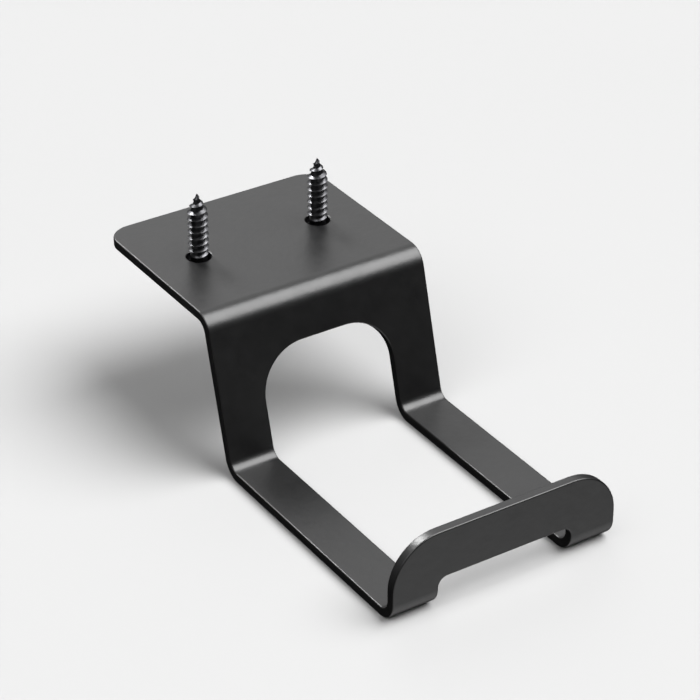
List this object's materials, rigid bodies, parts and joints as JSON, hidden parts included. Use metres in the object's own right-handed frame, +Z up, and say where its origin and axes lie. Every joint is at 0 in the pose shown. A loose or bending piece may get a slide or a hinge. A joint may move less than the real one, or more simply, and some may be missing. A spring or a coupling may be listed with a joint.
{
  "type": "under-desk headphone hook",
  "caption": "Bent sheet-steel headphone hook: a flange under the desk top, a leaning drop with a round-topped window, level arms and an upturned lip, held by pan-head screws.",
  "frame": {"origin": "on the flange's top face, which meets the underside of the desk top, halfway between the two screws", "axes": "+Z up into the desk top, along the screws; -Y outwards, the way the arms reach; X across the hook, which is the same on both sides of X = 0"},
  "size_m": [0.05, 0.1057, 0.0464],
  "materials": {
    "black_powder_coat": "satin black powder coat with a fine even texture",
    "black_zinc_steel": "black zinc plated steel, semi-gloss"
  },
  "bodies": {
    "root": {"hook_plate": "black_powder_coat", "screw_left": "black_zinc_steel", "screw_right": "black_zinc_steel"}
  },
  "joints": []
}
